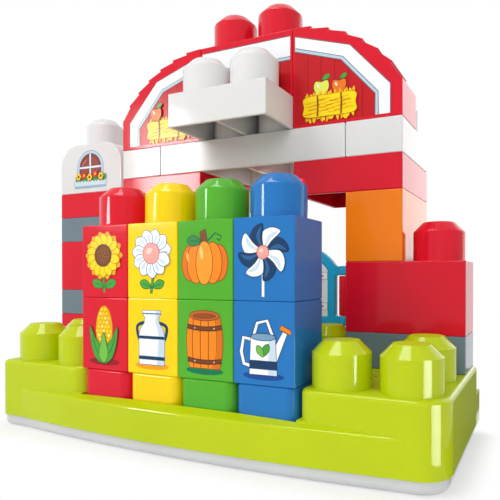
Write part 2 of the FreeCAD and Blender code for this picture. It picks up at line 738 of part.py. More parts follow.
def power_switch():
    """A slide switch under the deck with its knob in the deck's slot."""
    x = column(SWITCH_PLACE[0])
    y = row(SWITCH_PLACE[1])
    foot = f"({DECK_UNDER} - switch_height)"
    can = centred_box("switch_can", (x, y, foot), ("switch_length", "switch_width", "switch_height"))
    groove_foot = f"({DECK_UNDER} - switch_height / 2)"
    groove = centred_box("switch_groove", (x, y, groove_foot),
                         ("switch_stem + switch_travel + 2 * switch_room",
                          "switch_stem + 2 * switch_room", "switch_height / 2"))
    keep(cut("power_switch_body", can, [groove]))
    rest = f"{x} - switch_travel / 2"
    cap_foot = "(brick_height + switch_lift)"
    stem_foot = f"({groove_foot} + switch_lift)"
    stem = centred_box("switch_knob_stem", (rest, y, stem_foot),
                       ("switch_stem", "switch_stem", f"{cap_foot} - {stem_foot}"))
    cap = centred_box("switch_knob_cap", (rest, y, cap_foot),
                      ("switch_cap_length", "switch_width", "switch_cap_height"))
    keep(fuse("power_switch_knob", [stem, cap]))


# Gate and its hinge

HINGE_X = f"({column(HINGE_PLACE[0])} - hinge_reach)"
HINGE_Y = f"({row(HINGE_PLACE[1])})"
GATE_FOOT = f"({level(HINGE_LEVEL)} - gate_drop)"
KNUCKLE_FOOT = f"({GATE_FOOT} + gate_arm_height + gate_play)"
KNUCKLE_HEIGHT = "(brick_height - 2 * gate_arm_height - 2 * gate_play)"


def gate_hinge_brick():
    """A one-cell brick with a hinge knuckle on its left side."""
    name = "gate_hinge_brick"
    solids, hollows = brick_solids(name, HINGE_PLACE[0], HINGE_PLACE[1] - 0.5, HINGE_LEVEL, 1, 1, 1)
    solids.append(cylinder(name + "_knuckle", (HINGE_X, HINGE_Y, KNUCKLE_FOOT),
                           "knuckle_radius", KNUCKLE_HEIGHT))
    solids.append(box(name + "_web", (HINGE_X, f"{HINGE_Y} - knuckle_web / 2", KNUCKLE_FOOT),
                      (f"hinge_reach + brick_gap / 2 + {BRICK_WALL} / 2", "knuckle_web", KNUCKLE_HEIGHT)))
    hollows.append(cylinder(name + "_pin_hole", (HINGE_X, HINGE_Y, KNUCKLE_FOOT),
                            "pin_radius + pin_play", KNUCKLE_HEIGHT))
    keep(cut(name, fuse(name + "_solid", solids), hollows))


def gate_face(inset, y):
    """The gate's outline with its arched top, drawn in by an inset, at a depth y."""
    right = (HINGE_PLACE[0] - BASE_COLUMNS / 2) * S.pitch - S.hinge_reach - S.gate_arm_length - inset
    left = right - S.gate_width + 2 * inset
    bottom = (1 + HINGE_LEVEL) * S.brick_height - S.gate_drop
    foot = bottom + inset
    spring = bottom + S.brick_height - inset / 2
    crown = bottom + S.brick_height + S.gate_rise - inset
    low_right = FreeCAD.Vector(right, y, foot)
    low_left = FreeCAD.Vector(left, y, foot)
    high_right = FreeCAD.Vector(right, y, spring)
    high_left = FreeCAD.Vector(left, y, spring)
    peak = FreeCAD.Vector((left + right) / 2, y, crown)
    edges = [Part.LineSegment(high_left, low_left).toShape(),
             Part.LineSegment(low_left, low_right).toShape(),
             Part.LineSegment(low_right, high_right).toShape(),
             Part.Arc(high_right, peak, high_left).toShape()]
    return Part.Face(Part.Wire(edges))


def gate():
    """An arched gate with a sunk panel on both faces and two hinge arms with pins."""
    middle = (HINGE_PLACE[1] - BASE_ROWS / 2) * S.pitch
    front = middle - S.gate_thickness / 2
    back = middle + S.gate_thickness / 2
    deep = FreeCAD.Vector(0, S.gate_thickness, 0)
    sunk = FreeCAD.Vector(0, S.gate_recess, 0)
    board = feature("gate_board", gate_face(0.0, front).extrude(deep))
    panels = [feature("gate_front_panel", gate_face(S.gate_border, front).extrude(sunk)),
              feature("gate_back_panel", gate_face(S.gate_border, back).extrude(-sunk))]
    pieces = [cut("gate_frame", board, panels)]
    arm_feet = {"low": GATE_FOOT, "high": f"({GATE_FOOT} + brick_height - gate_arm_height)"}
    pin_feet = {"low": f"({GATE_FOOT} + gate_arm_height)",
                "high": f"({GATE_FOOT} + brick_height - gate_arm_height - pin_length)"}
    for end, foot in arm_feet.items():
        pieces.append(box(f"gate_{end}_arm", (f"{HINGE_X} - gate_arm_length - gate_border",
                                              f"{HINGE_Y} - gate_thickness / 2", foot),
                          ("gate_arm_length + gate_border", "gate_thickness", "gate_arm_height")))
        pieces.append(cylinder(f"gate_{end}_eye", (HINGE_X, HINGE_Y, foot), "knuckle_radius - 2 * pin_play",
                               "gate_arm_height"))
        pieces.append(cylinder(f"gate_{end}_pin", (HINGE_X, HINGE_Y, pin_feet[end]), "pin_radius",
                               "pin_length"))
    keep(fuse("gate", pieces))


# Assembly

def wall_bricks():
    """The barn's front wall: two towers, lintels, beam, balcony and roof."""
    brick("left_grey_brick", 0, 2, 0, 2, 1, 0.5)
    brick("right_grey_brick", 6, 2, 0, 2, 1, 0.5)
    brick("left_red_brick", 0, 2, 0.5, 2, 1, 1)
    brick("right_red_brick", 6, 2, 0.5, 2, 1, 1)
    brick("left_orange_brick", 1, 2, 1.5, 1, 2, 1)
    brick("right_orange_brick", 6, 2, 1.5, 1, 2, 1)
    brick("left_lintel", 1, 2, 2.5, 2, 2, 0.5)
    brick("right_lintel", 5, 2, 2.5, 2, 2, 0.5)
    brick("left_white_brick", 1, 2, 3, 1, 2, 0.5)
    brick("right_white_brick", 6, 2, 3, 1, 2, 0.5)
    brick("white_beam", 2, 2, 3, 4, 2, 0.5)
    brick("balcony_brick", 3, 1, 3.5, 2, 2, 0.5)
    roof_panel("roof_left", 1, 2, 3.5, -1)
    brick("roof_centre", 3, 2, 4, 2, 1, 1)
    roof_panel("roof_right", 5, 2, 3.5, 1)


def rear_bricks():
    """The plate behind the base, what stands on it, and the side tower."""
    brick("back_plate", -2, 3, -1, 10, 1, 0.5)
    brick("rear_brick_right", 6, 3, -0.5, 1, 1, 1)
    brick("rear_brick_left_low", 1, 3, -0.5, 1, 1, 1)
    brick("rear_brick_left_high", 1, 3, 0.5, 1, 1, 1)
    brick("side_tower_red_low", -2, 3, -0.5, 2, 1, 1)
    brick("side_tower_grey_low", -2, 3, 0.5, 2, 1, 0.5)
    brick("side_tower_red_mid", -2, 3, 1, 2, 1, 1)
    brick("side_tower_grey_high", -2, 3, 2, 2, 1, 0.5)
    brick("side_tower_red_high", -2, 3, 2.5, 2, 1, 0.5)
    arch_block("side_tower_arch", -2, 3, 3)


def key_towers():
    """Four keys, each with its dome and its two loose blocks."""
    for n, colour in enumerate(KEY_COLOURS):
        col = FIRST_KEY_COLUMN + n
        press_key(colour, col)
        brick(f"block_{colour}_lower", col, 0, 0, 1, 1, 1)
        brick(f"block_{colour}_upper", col, 0, 1, 1, 1, 1)


def check_and_write():
    """Stop on any failed object or bad shape, then write one file for each piece."""
    DOC.recompute()
    for item in DOC.Objects:
        if "Invalid" in item.State or "Error" in item.State:
            raise RuntimeError(f"{item.Label} failed: {item.State}")
    for item in PARTS:
        if item.Shape.isNull() or not item.Shape.isValid():
            raise RuntimeError(f"{item.Label} has a bad shape")
    os.makedirs("parts", exist_ok=True)
    for item in PARTS:
        item.Shape.exportStep(f"parts/{item.Label}.step")
        print(item.Label, len(item.Shape.Solids), round(item.Shape.Volume))


fill_sheet()
base_shell()
base_tray()
battery_pieces()
tray_screws()
circuit_board()
speaker()
power_switch()
key_towers()
wall_bricks()
rear_bricks()
gate_hinge_brick()
gate()
check_and_write()
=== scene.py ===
import json
import math

import bmesh
import bpy
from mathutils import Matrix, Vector


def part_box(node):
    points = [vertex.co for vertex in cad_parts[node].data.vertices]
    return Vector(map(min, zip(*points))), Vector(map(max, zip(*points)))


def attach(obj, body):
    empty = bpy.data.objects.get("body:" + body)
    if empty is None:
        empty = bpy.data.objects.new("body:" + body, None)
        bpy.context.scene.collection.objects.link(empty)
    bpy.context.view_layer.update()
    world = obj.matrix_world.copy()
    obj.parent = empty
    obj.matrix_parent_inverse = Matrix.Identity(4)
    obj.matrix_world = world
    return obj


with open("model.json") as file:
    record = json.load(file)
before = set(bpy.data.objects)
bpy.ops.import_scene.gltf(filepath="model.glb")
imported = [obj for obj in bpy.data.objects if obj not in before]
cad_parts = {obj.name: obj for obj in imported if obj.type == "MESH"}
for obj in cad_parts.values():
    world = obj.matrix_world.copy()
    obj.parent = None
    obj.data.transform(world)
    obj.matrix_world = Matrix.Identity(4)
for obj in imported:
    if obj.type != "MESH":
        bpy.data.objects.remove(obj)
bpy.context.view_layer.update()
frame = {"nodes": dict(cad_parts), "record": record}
NODES = frame["nodes"]

# Brick lattice, in millimetres
MM = 0.001
PITCH = 31.75
HEIGHT = 38.1
GAP = 0.15


def column(n):
    return (n - 4) * PITCH


def row(n):
    return (n - 1.5) * PITCH


def level(n):
    return (1 + n) * HEIGHT


# Materials
DRIFT_SCALE = 22
GLOSS_SCALE = 60
SKIN_SCALE = 420
SKIN_DEPTH = 0.0002
COAT_ROUGHNESS = 0.03
LEVEL_STARTS = 0.95
LEVEL_ENDS = 0.995


def linear(rgb, gain=1.0):
    """A colour from 0-255 screen values, as the shader wants it."""
    out = []
    for value in rgb:
        v = value / 255
        v = v / 12.92 if v <= 0.04045 else ((v + 0.055) / 1.055) ** 2.4
        out.append(min(1.0, v * gain))
    return (*out, 1.0)


def material(name):
    made = bpy.data.materials.new(name)
    made.use_nodes = True
    tree = made.node_tree
    return made, tree, tree.nodes["Principled BSDF"]


def noise(tree, scale, detail=2.0):
    """A noise pattern fixed to the piece, in its own metres."""
    place = tree.nodes.new("ShaderNodeTexCoord")
    pattern = tree.nodes.new("ShaderNodeTexNoise")
    pattern.inputs["Scale"].default_value = scale
    pattern.inputs["Detail"].default_value = detail
    tree.links.new(place.outputs["Object"], pattern.inputs["Vector"])
    return pattern.outputs["Fac"]


def ramp(tree, source, low, high, start=0.3, end=0.7):
    node = tree.nodes.new("ShaderNodeValToRGB")
    node.color_ramp.elements[0].position = start
    node.color_ramp.elements[1].position = end
    node.color_ramp.elements[0].color = low
    node.color_ramp.elements[1].color = high
    tree.links.new(source, node.inputs["Fac"])
    return node.outputs["Color"]


def spread(tree, source, low, high):
    node = tree.nodes.new("ShaderNodeMapRange")
    node.inputs["To Min"].default_value = low
    node.inputs["To Max"].default_value = high
    tree.links.new(source, node.inputs["Value"])
    return node.outputs["Result"]


def dull_tops(tree, gloss, rough):
    """A roughness that goes up to a duller one on level faces, which carry a fine moulded grain."""
    place = tree.nodes.new("ShaderNodeNewGeometry")
    parts = tree.nodes.new("ShaderNodeSeparateXYZ")
    tree.links.new(place.outputs["Normal"], parts.inputs[0])
    level_face = tree.nodes.new("ShaderNodeMapRange")
    level_face.inputs["From Min"].default_value = LEVEL_STARTS
    level_face.inputs["From Max"].default_value = LEVEL_ENDS
    level_face.inputs["To Max"].default_value = rough
    tree.links.new(parts.outputs["Z"], level_face.inputs["Value"])
    most = tree.nodes.new("ShaderNodeMath")
    most.operation = "MAXIMUM"
    tree.links.new(gloss, most.inputs[0])
    tree.links.new(level_face.outputs["Result"], most.inputs[1])
    return most.outputs[0]


def plastic(name, rgb, rough=0.1, specular=0.22, coat=0.0, drift=0.04, skin=0.05, metal=0.0, tops=0.0):
    """Moulded plastic: slow drifts of colour and gloss, and a fine skin of flow marks."""
    made, tree, shader = material(name)
    shade = ramp(tree, noise(tree, DRIFT_SCALE), linear(rgb, 1 - drift), linear(rgb, 1 + drift))
    tree.links.new(shade, shader.inputs["Base Color"])
    gloss = spread(tree, noise(tree, GLOSS_SCALE, 4), rough * 0.8, rough * 1.25)
    if tops:
        gloss = dull_tops(tree, gloss, tops)
    tree.links.new(gloss, shader.inputs["Roughness"])
    bump = tree.nodes.new("ShaderNodeBump")
    bump.inputs["Strength"].default_value = skin
    bump.inputs["Distance"].default_value = SKIN_DEPTH
    tree.links.new(noise(tree, SKIN_SCALE, 3), bump.inputs["Height"])
    tree.links.new(bump.outputs["Normal"], shader.inputs["Normal"])
    shader.inputs["Metallic"].default_value = metal
    shader.inputs["Specular IOR Level"].default_value = specular
    shader.inputs["Coat Weight"].default_value = coat
    shader.inputs["Coat Roughness"].default_value = COAT_ROUGHNESS
    return made


FINISH = {
    "lime": plastic("lime_plastic", (189, 206, 12), rough=0.08, tops=0.5),
    "rim_grey": plastic("rim_plastic", (208, 209, 212)),
    "red": plastic("red_plastic", (220, 20, 44)),
    "yellow": plastic("yellow_plastic", (255, 214, 4)),
    "green": plastic("green_plastic", (84, 174, 44)),
    "blue": plastic("blue_plastic", (34, 118, 190)),
    "orange": plastic("orange_plastic", (246, 126, 20)),
    "white": plastic("white_plastic", (225, 224, 223), drift=0.015),
    "slate": plastic("slate_plastic", (112, 130, 140)),
    "gate_blue": plastic("gate_plastic", (36, 174, 230)),
    "dome_rubber": plastic("dome_rubber", (205, 204, 198), rough=0.6, skin=0.2),
    "board": plastic("board_laminate", (16, 92, 44), rough=0.4, drift=0.1),
    "steel": plastic("screw_steel", (176, 178, 182), rough=0.3, skin=0.3, metal=1.0),
    "cell": plastic("cell_jacket", (170, 128, 48), rough=0.3, coat=0.2, metal=0.6),
    "black_metal": plastic("speaker_paint", (24, 24, 26), rough=0.45, skin=0.25),
    "black_plastic": plastic("switch_plastic", (26, 26, 28), rough=0.35),
}
SLOT_OF = {part["node"]: part["material_slot"] for part in frame["record"]["subparts"]}
for name, node in NODES.items():
    node.data.materials.clear()
    node.data.materials.append(FINISH[SLOT_OF[name]])


# Moulded edges
SMOOTH_ALREADY = ("base_shell", "base_tray")
INNER = ("batteries", "battery_contacts", "battery_door_screw", "tray_screws", "board_screws",
         "circuit_board", "speaker", "power_switch_body")
SMALL_STEPS = ("roof_left", "roof_right", "battery_door")
EDGE_WIDTH = 0.7
FINE_WIDTH = 0.25
EDGE_STEPS = 3
WELD_REACH = 0.000002
FLAT_WITHIN = math.radians(0.6)
SHARP_FROM = math.radians(32)


def soften(name, width):
    """Round the sharp edges of a node a little, as moulded plastic has them."""
    node = NODES[name]
    weld = node.modifiers.new("weld", "WELD")
    weld.merge_threshold = WELD_REACH
    flat = node.modifiers.new("flat_faces", "DECIMATE")
    flat.decimate_type = "DISSOLVE"
    flat.angle_limit = FLAT_WITHIN
    bevel = node.modifiers.new("soft_edges", "BEVEL")
    bevel.width = width * MM
    bevel.segments = EDGE_STEPS
    bevel.limit_method = "ANGLE"
    bevel.angle_limit = SHARP_FROM
    bevel.use_clamp_overlap = False
    bevel.harden_normals = True


for name in NODES:
    if name not in SMOOTH_ALREADY and name not in INNER and not name.startswith("key_"):
        soften(name, FINE_WIDTH if name in SMALL_STEPS else EDGE_WIDTH)

# Prints

INKS = {}


def ink(rgb):
    """A thin glossy print of one colour, a little uneven as on a pressed label."""
    if rgb not in INKS:
        name = "ink_%02x%02x%02x" % rgb
        INKS[rgb] = plastic(name, rgb, rough=0.22, drift=0.03, skin=0.03)
    return INKS[rgb]


def oval(x, z, wide, tall, turn=0.0, steps=40):
    c = math.cos(turn)
    s = math.sin(turn)
    points = []
    for n in range(steps):
        a = 2 * math.pi * n / steps
        u = wide * math.cos(a)
        v = tall * math.sin(a)
        points.append((x + u * c - v * s, z + u * s + v * c))
    return points


def smooth(corners, steps=8):
    """A closed smooth line through a few points."""
    points = []
    count = len(corners)
    for n in range(count):
        a, b, c, d = (corners[(n + k - 1) % count] for k in range(4))
        for step in range(steps):
            t = step / steps
            point = []
            for p, q, r, s in zip(a, b, c, d):
                point.append(0.5 * (2 * q + (r - p) * t + (2 * p - 5 * q + 4 * r - s) * t * t
                                    + (3 * q - p - 3 * r + s) * t ** 3))
            points.append(tuple(point))
    return points


def petal(x, z, angle, start, end, wide):
    """A leaf shape that points away from a middle, along an angle."""
    c = math.cos(angle)
    s = math.sin(angle)
    first = start + (end - start) * 0.35
    widest = start + (end - start) * 0.7
    outline = [(start, 0.0), (first, wide * 0.42), (widest, wide * 0.5),
               (end, 0.0), (widest, -wide * 0.5), (first, -wide * 0.42)]
    return [(x + u * c - v * s, z + u * s + v * c) for u, v in smooth(outline, 5)]


def area(points):
    return sum(a[0] * b[1] - b[0] * a[1] for a, b in zip(points, points[1:] + points[:1])) / 2


def grow(points, width):
    """The same outline, pushed outwards by a width."""
    side = 1 if area(points) > 0 else -1
    count = len(points)
    grown = []
    for n in range(count):
        before = Vector(points[n - 1])
        here = Vector(points[n])
        after = Vector(points[(n + 1) % count])
        along = (after - here).normalized() + (here - before).normalized()
        if along.length < 1e-6:
            along = after - before
        along.normalize()
        grown.append((here.x + side * along.y * width, here.y - side * along.x * width))
    return grown


def stroke(points, width):
    """A ribbon along an open line."""
    left = []
    right = []
    for n, here in enumerate(points):
        before = Vector(points[max(n - 1, 0)])
        after = Vector(points[min(n + 1, len(points) - 1)])
        along = (after - before).normalized()
        left.append((here[0] - along.y * width / 2, here[1] + along.x * width / 2))
        right.append((here[0] + along.y * width / 2, here[1] - along.x * width / 2))
    return left + right[::-1]


class Print:
    """Flat shapes in ink, laid one over another on an upright face of the toy."""

    FIRST_LIFT = 0.04
    LAYER = 0.012

    def __init__(self, name, x, y, z, front=-1):
        self.name = name
        self.place = (x, y, z)
        self.front = front
        self.layers = []

    def fill(self, points, rgb):
        self.layers.append((points, rgb))

    def shape(self, points, rgb, line, width=0.35):
        self.fill(grow(points, width), line)
        self.fill(points, rgb)

    def make(self, body, slot):
        mesh = bpy.data.meshes.new(self.name)
        build = bmesh.new()
        order = []
        x, y, z = self.place
        for n, (points, rgb) in enumerate(self.layers):
            if rgb not in order:
                order.append(rgb)
            lift = (self.FIRST_LIFT + n * self.LAYER) * self.front
            if area(points) * self.front > 0:
                points = points[::-1]
            corners = []
            for u, v in points:
                corners.append(build.verts.new(((x + u) * MM, (y + lift) * MM, (z + v) * MM)))
            face = build.faces.new(corners)
            face.normal_update()
            face.material_index = order.index(rgb)
        bmesh.ops.triangulate(build, faces=build.faces[:])
        build.to_mesh(mesh)
        build.free()
        for rgb in order:
            mesh.materials.append(ink(rgb))
        piece = bpy.data.objects.new(self.name, mesh)
        bpy.context.scene.collection.objects.link(piece)
        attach(piece, body)


# Farm motifs, each in millimetres from the middle of its face

WHITE = (247, 249, 252)
ICE = (205, 222, 238)
STEEL = (74, 112, 150)
NAVY = (18, 58, 98)
INDIGO = (16, 40, 76)
SUN = (255, 220, 18)
AMBER = (248, 180, 16)
TAN = (205, 122, 22)
ORANGE = (245, 138, 22)
RUST = (136, 62, 22)
BROWN = (118, 64, 30)
LEAF = (72, 164, 58)
PINE = (22, 104, 52)
PINK = (248, 166, 156)
ROSE = (196, 92, 92)


def leaves(art, x, z, size):
    """A pair of leaves that spread from a point."""
    for angle in (math.radians(20), math.radians(160)):
        art.shape(petal(x, z, angle, 0.6, size, size * 0.5), LEAF, PINE)
        tip = (x + size * 0.75 * math.cos(angle), z + size * 0.75 * math.sin(angle))
        art.fill(stroke([(x, z), tip], 0.35), PINE)


def sunflower(art):
    art.fill(stroke([(0, -2), (-0.4, -9), (0.2, -16.5)], 1.7), PINE)
    art.fill(stroke([(0, -2), (-0.4, -9), (0.2, -16.3)], 1.0), LEAF)
    leaves(art, 0, -13.5, 8.5)
    for ring, (end, rgb) in enumerate(((12.6, AMBER), (11.4, SUN))):
        for n in range(14):
            angle = 2 * math.pi * (n + ring / 2) / 14
            art.shape(petal(0, 3, angle, 3.5, end, 4.6), rgb, TAN, 0.3)
    art.shape(oval(0, 3, 5.6, 5.6), BROWN, (80, 40, 18))
    art.fill(oval(0, 3, 4.4, 4.4), (146, 84, 36))
    for ring, count in ((1.3, 5), (2.6, 10), (3.8, 15)):
        for n in range(count):
            angle = 2 * math.pi * n / count + ring
            seed = oval(ring * math.cos(angle), 3 + ring * math.sin(angle), 0.4, 0.4, 0, 10)
            art.fill(seed, (88, 44, 20))


def corn(art):
    art.fill(oval(0, -14.6, 10.5, 1.9), (150, 16, 32))
    art.shape(oval(0, 1.5, 5.6, 13), AMBER, TAN)
    for line in range(-5, 6):
        for n in range(-2, 3):
            u = (n + (line % 2) / 2) * 2.3
            v = 1.5 + line * 2.25
            if (u / 4.9) ** 2 + ((v - 1.5) / 12.2) ** 2 < 1:
                art.fill(oval(u, v, 1.0, 0.95, 0, 14), SUN if (n + line) % 3 else (255, 236, 110))
    for side in (-1, 1):
        husk = smooth([(0, -15), (side * 5.5, -12.5), (side * 8.6, -5), (side * 9.4, 3.5),
                       (side * 6.2, -2), (side * 2.4, -6.5)])
        art.shape(husk, LEAF, PINE)
        art.fill(stroke([(side * 1.2, -13), (side * 5.4, -8), (side * 8, -0.5)], 0.4), PINE)
    front_husk = smooth([(0, -15), (3, -11), (1.6, -4), (0, 0.5), (-1.6, -4), (-3, -11)])
    art.shape(front_husk, (118, 190, 70), PINE)


def daisy(art):
    art.fill(stroke([(0, -2), (0.8, -9), (-0.4, -16.5)], 1.7), PINE)
    art.fill(stroke([(0, -2), (0.8, -9), (-0.4, -16.3)], 1.0), LEAF)
    leaves(art, 0.2, -13.5, 8)
    for n in range(11):
        angle = 2 * math.pi * n / 11 + 0.2
        art.shape(petal(0, 3.5, angle, 2.5, 12.2, 6.4), WHITE, STEEL)
        art.fill(petal(0, 3.5, angle - 0.14, 5, 10.4, 1.7), ICE)
    art.shape(oval(0, 3.5, 5, 5), PINK, ROSE)
    art.fill(oval(-1.2, 4.8, 2.1, 1.5, 0.6), (255, 208, 198))


def churn(art):
    art.fill(oval(0, -14.6, 10.5, 1.9), (246, 160, 16))
    for side in (-1, 1):
        handle = smooth([(side * 4, 6.5), (side * 9.2, 5), (side * 8.2, -1), (side * 6, -0.5)])
        art.fill(stroke(handle[:25], 1.7), NAVY)
    half = [(4.2, 9.6), (4.6, 6.8), (7.2, 3.6), (8, 0.5), (8, -13), (7.6, -14)]
    rim = [(5.6, 13), (5.6, 11.2)]
    outline = rim + half
    art.shape(outline + [(-u, v) for u, v in outline[::-1]], WHITE, STEEL)
    art.fill(outline + [(3.4, -14), (4.4, 0), (4, 3.4), (2.6, 6.8), (2.4, 9.6), (3, 13)], ICE)
    art.fill([(-8, -11.6), (8, -11.6), (8, -9.8), (-8, -9.8)], NAVY)
    art.fill([(-8, -1.2), (8, -1.2), (8, 0.3), (-8, 0.3)], NAVY)
    art.fill([(-5.6, 11.2), (5.6, 11.2), (5.6, 11.8), (-5.6, 11.8)], STEEL)
    art.fill(oval(-5, -5.4, 0.8, 3.2), (255, 255, 255))


def pumpkin(art):
    art.fill(stroke([(2, 9), (6, 12.5), (9.5, 11), (8.5, 8.8), (7, 10)], 0.8), PINE)
    art.shape([(-1.6, 8), (-2.6, 13.2), (0.6, 14.4), (1.8, 8)], BROWN, (70, 36, 16))
    for u, wide, tall, rgb in ((-8, 5, 8.4, (232, 116, 14)), (8, 5, 8.4, (232, 116, 14)),
                               (-4.6, 5.2, 9.6, ORANGE), (4.6, 5.2, 9.6, ORANGE),
                               (0, 4.6, 10.2, (252, 158, 40))):
        art.shape(oval(u, -1.5, wide, tall), rgb, RUST)
    art.fill(oval(-1.6, 3.2, 0.9, 3.2, 0.15), (255, 206, 122))
    art.fill(oval(-9.6, 1.4, 0.7, 2.4, 0.2), (255, 186, 92))
    art.shape(petal(-1.4, 8.4, math.radians(172), 0.4, 8.4, 4.6), (34, 132, 62), (14, 78, 40))
    art.fill(stroke([(-2, 8.5), (-8, 9.4)], 0.35), (14, 78, 40))


def barrel(art):
    art.fill(oval(0, -14.6, 10.5, 1.9), (8, 118, 76))
    side = [(8.4, -13.4), (9.8, -8), (10.3, -1), (9.8, 6), (8.4, 11.4)]
    art.shape(side + [(-u, v) for u, v in side[::-1]], ORANGE, RUST)
    for u in (-6.2, -2.1, 2.1, 6.2):
        bend = u * 1.12
        art.fill(stroke([(u, -13.2), (bend, -5), (bend, 3), (u, 11)], 0.4), RUST)
    art.fill(side + [(6.2, 11), (7, 3), (7, -5), (4.2, -13.2)], (222, 112, 16))
    for v in (-9.4, 6.4):
        arc = [(u, v - 1.1 * (1 - (u / 10.2) ** 2)) for u in (-9.7, -6, -2, 2, 6, 9.7)]
        art.fill(stroke(arc, 2.3), (84, 40, 22))
        art.fill(stroke(arc, 1.5), BROWN)
        art.fill(oval(-5.5, v - 0.8, 0.4, 0.4, 0, 10), (226, 190, 150))
        art.fill(oval(5.5, v - 0.8, 0.4, 0.4, 0, 10), (226, 190, 150))
    art.shape(oval(0, 11.6, 8.4, 2.2), (196, 104, 34), RUST)
    art.fill(oval(0, 11.4, 6.8, 1.4), (150, 74, 28))


def pinwheel(art):
    art.shape(stroke([(0, 2), (0, -17)], 1.3), WHITE, STEEL, 0.3)
    blade = smooth([(0.4, 0), (6.5, -0.7), (12.4, -2.2), (11.6, 2.4), (7.4, 5.2), (3, 3)], 5)
    crease = smooth([(2, 0.3), (7, 0.2), (11.6, -1.4), (8, 1.9)], 5)
    for n in range(8):
        angle = 2 * math.pi * n / 8 + 0.2
        c = math.cos(angle)
        s = math.sin(angle)
        vane = [(u * c - v * s, 3 + u * s + v * c) for u, v in blade]
        fold = [(u * c - v * s, 3 + u * s + v * c) for u, v in crease]
        art.shape(vane, WHITE if n % 2 else NAVY, INDIGO, 0.3)
        art.fill(fold, ICE if n % 2 else (40, 96, 150))
    art.shape(oval(0, 3, 2.9, 2.9), PINK, ROSE)
    art.fill(oval(-0.7, 3.8, 1.1, 0.8, 0.6), (255, 214, 204))


def watering_can(art):
    art.fill(oval(0, -14.6, 10.5, 1.9), (18, 74, 152))
    back_grip = [(-5, 1.5), (-10.2, 2.4), (-11.4, -4), (-10, -9.5), (-5.5, -10.5)]
    art.fill(stroke(back_grip, 2.4), INDIGO)
    art.fill(stroke(back_grip, 1.6), WHITE)
    top_grip = [(-5, 3), (-3, 9.2), (2, 10.4), (5, 3)]
    art.fill(stroke(top_grip, 2.2), INDIGO)
    art.fill(stroke(top_grip, 1.4), WHITE)
    art.shape([(4.6, -9.5), (6.4, -9), (12, 4.8), (10, 5.6), (4.6, -3.6)], WHITE, INDIGO)
    art.shape([(8.4, 6.8), (13.6, 4.6), (14, 6.2), (9.4, 8.4)], ORANGE, RUST)
    art.shape([(-7, -14), (7, -14), (6.2, 3), (-6.2, 3)], WHITE, INDIGO)
    art.fill([(2.6, -14), (7, -14), (6.2, 3), (3, 3)], ICE)
    art.fill([(-6.9, -11.6), (6.9, -11.6), (6.7, -7.6), (-6.7, -7.6)], NAVY)
    art.shape(oval(0, 3, 6.2, 1.5), (120, 160, 196), INDIGO, 0.3)
    art.shape(petal(-0.4, -5.8, math.radians(60), 0, 6.4, 3), LEAF, PINE, 0.3)
    art.shape(petal(0.2, -5.8, math.radians(125), 0, 5.6, 2.8), (118, 190, 70), PINE, 0.3)


FACES = {
    ("red", "upper"): sunflower, ("red", "lower"): corn,
    ("yellow", "upper"): daisy, ("yellow", "lower"): churn,
    ("green", "upper"): pumpkin, ("green", "lower"): barrel,
    ("blue", "upper"): pinwheel, ("blue", "lower"): watering_can,
}
for (colour, tier), motif in FACES.items():
    block = f"block_{colour}_{tier}"
    low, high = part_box(block)
    middle = level(0.5 if tier == "lower" else 1.5)
    art = Print(f"print_{motif.__name__}", (low.x + high.x) / 2 / MM, low.y / MM, middle)
    motif(art)
    art.make(block, colour)

# Roof, window and gate prints

RIM = 4.6
RIM_LAP = 0.6
TRIM = 7.4
EDGE_GREY = (92, 104, 116)
FIELD = (196, 22, 30)
BOARD = (160, 14, 24)
BOARD_STEP = 8
BOARD_LINE = 0.5
PALE_BLUE = (190, 212, 226)
INNER_MARGIN = 1.4
OUTER_MARGIN = 6.4
ROOF_INNER = PITCH + GAP + INNER_MARGIN
ROOF_OUTER = 3 * PITCH - GAP - OUTER_MARGIN
ROOF_FOOT = 1.8
TRIM_OUTSIDE = [(ROOF_INNER, 52.0), (66.2, 41.6), (ROOF_OUTER, 17.4), (ROOF_OUTER, ROOF_FOOT)]
TRIM_INSIDE = [(ROOF_INNER, 44.4), (61.6, 35.2), (ROOF_OUTER - TRIM, 13.6),
               (ROOF_OUTER - TRIM, ROOF_FOOT)]
RIDGE_TRIM = 12.6


def lining_height(x):
    """The height of the trim's inner edge."""
    for (a, low), (b, high) in zip(TRIM_INSIDE, TRIM_INSIDE[1:]):
        if x <= b:
            return low + (high - low) * (x - a) / (b - a)
    return ROOF_FOOT


def trim(art, outer, inner):
    """A white trim board with a pale blue lining and thin dark lines."""
    art.fill(outer + inner[::-1], WHITE)
    art.fill(stroke(outer, 0.45), EDGE_GREY)
    art.fill(stroke(inner, 2.3), EDGE_GREY)
    art.fill(stroke(inner, 1.5), PALE_BLUE)


